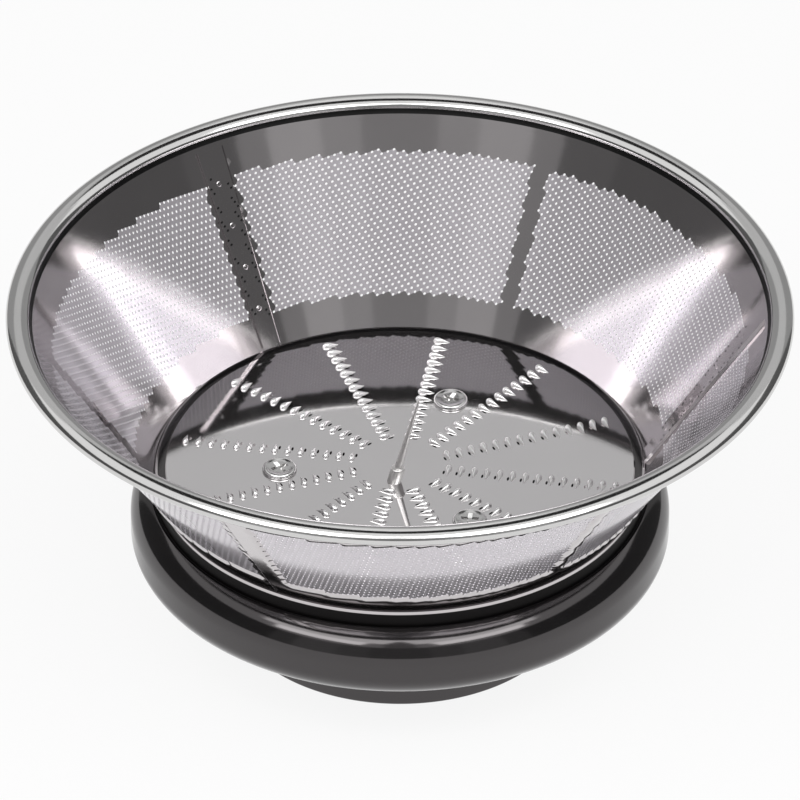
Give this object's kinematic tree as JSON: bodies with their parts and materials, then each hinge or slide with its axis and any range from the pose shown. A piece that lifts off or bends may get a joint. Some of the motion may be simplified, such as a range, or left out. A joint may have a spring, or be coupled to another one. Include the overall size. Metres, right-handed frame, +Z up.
{
  "type": "juicer mesh screen",
  "caption": "Conical steel sieve basket of a centrifugal juicer, with a toothed grater disc screwed down on a round black drive base.",
  "frame": {"origin": "on the turning axis, level with the foot of the hub that the part stands on", "axes": "+Z up the turning axis towards the rim; +X to the right and +Y away from the viewer in the picture's view"},
  "size_m": [0.15, 0.15, 0.07],
  "materials": {
    "rim_steel": "polished stainless steel",
    "sieve_steel": "bright rolled stainless sheet",
    "disc_steel": "mirror-polished stainless steel",
    "pin_steel": "ground stainless steel",
    "screw_steel": "bright stainless steel",
    "base_plastic": "glossy moulded plastic"
  },
  "bodies": {
    "root": {"rim_ring": "rim_steel", "sieve_sheet_1": "sieve_steel", "sieve_sheet_2": "sieve_steel", "sieve_sheet_3": "sieve_steel", "grater_disc": "disc_steel", "centre_pin": "pin_steel", "disc_screws": "screw_steel", "drive_base": "base_plastic"}
  },
  "joints": []
}
